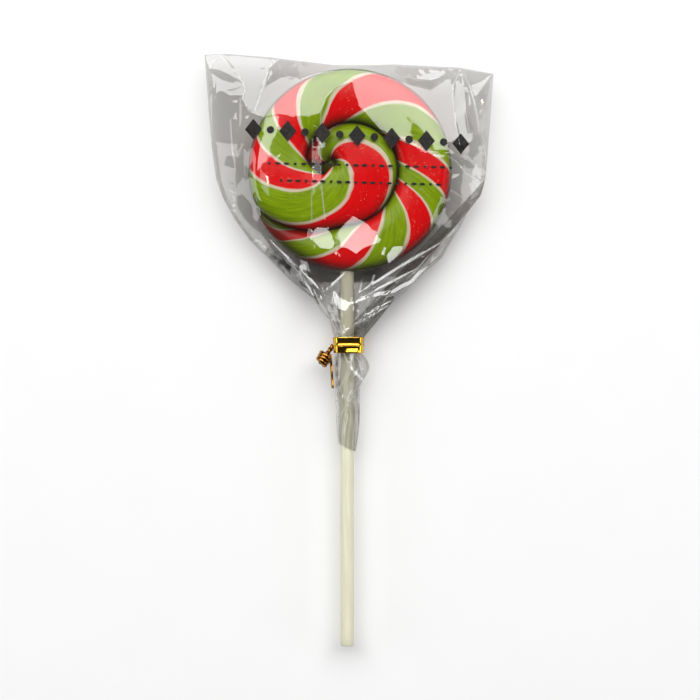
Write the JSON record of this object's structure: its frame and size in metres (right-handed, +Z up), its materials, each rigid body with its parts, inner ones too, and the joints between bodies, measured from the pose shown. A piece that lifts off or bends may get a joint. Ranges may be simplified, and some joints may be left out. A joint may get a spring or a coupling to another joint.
{
  "type": "lollipop",
  "caption": "Swirl lollipop: a coiled rope of hard candy pressed flat on a straight paper stick, in a clear gathered bag closed with a gold twist tie.",
  "frame": {"origin": "on the surface that the lollipop lies on, under the middle of the candy head", "axes": "+Y from the stick's free end towards the candy head, +Z up out of the side shown"},
  "size_m": [0.1023, 0.2093, 0.0162],
  "materials": {
    "candy": "glossy hard candy, spiral stripes of red, lime green and cream",
    "stick_paper": "matt rolled paper, off-white",
    "film": "clear glossy film, creased",
    "gold_ribbon": "shiny gold foil ribbon"
  },
  "bodies": {
    "root": {"candy_head": "candy", "stick": "stick_paper", "bag": "film", "twist_tie": "gold_ribbon"}
  },
  "joints": []
}
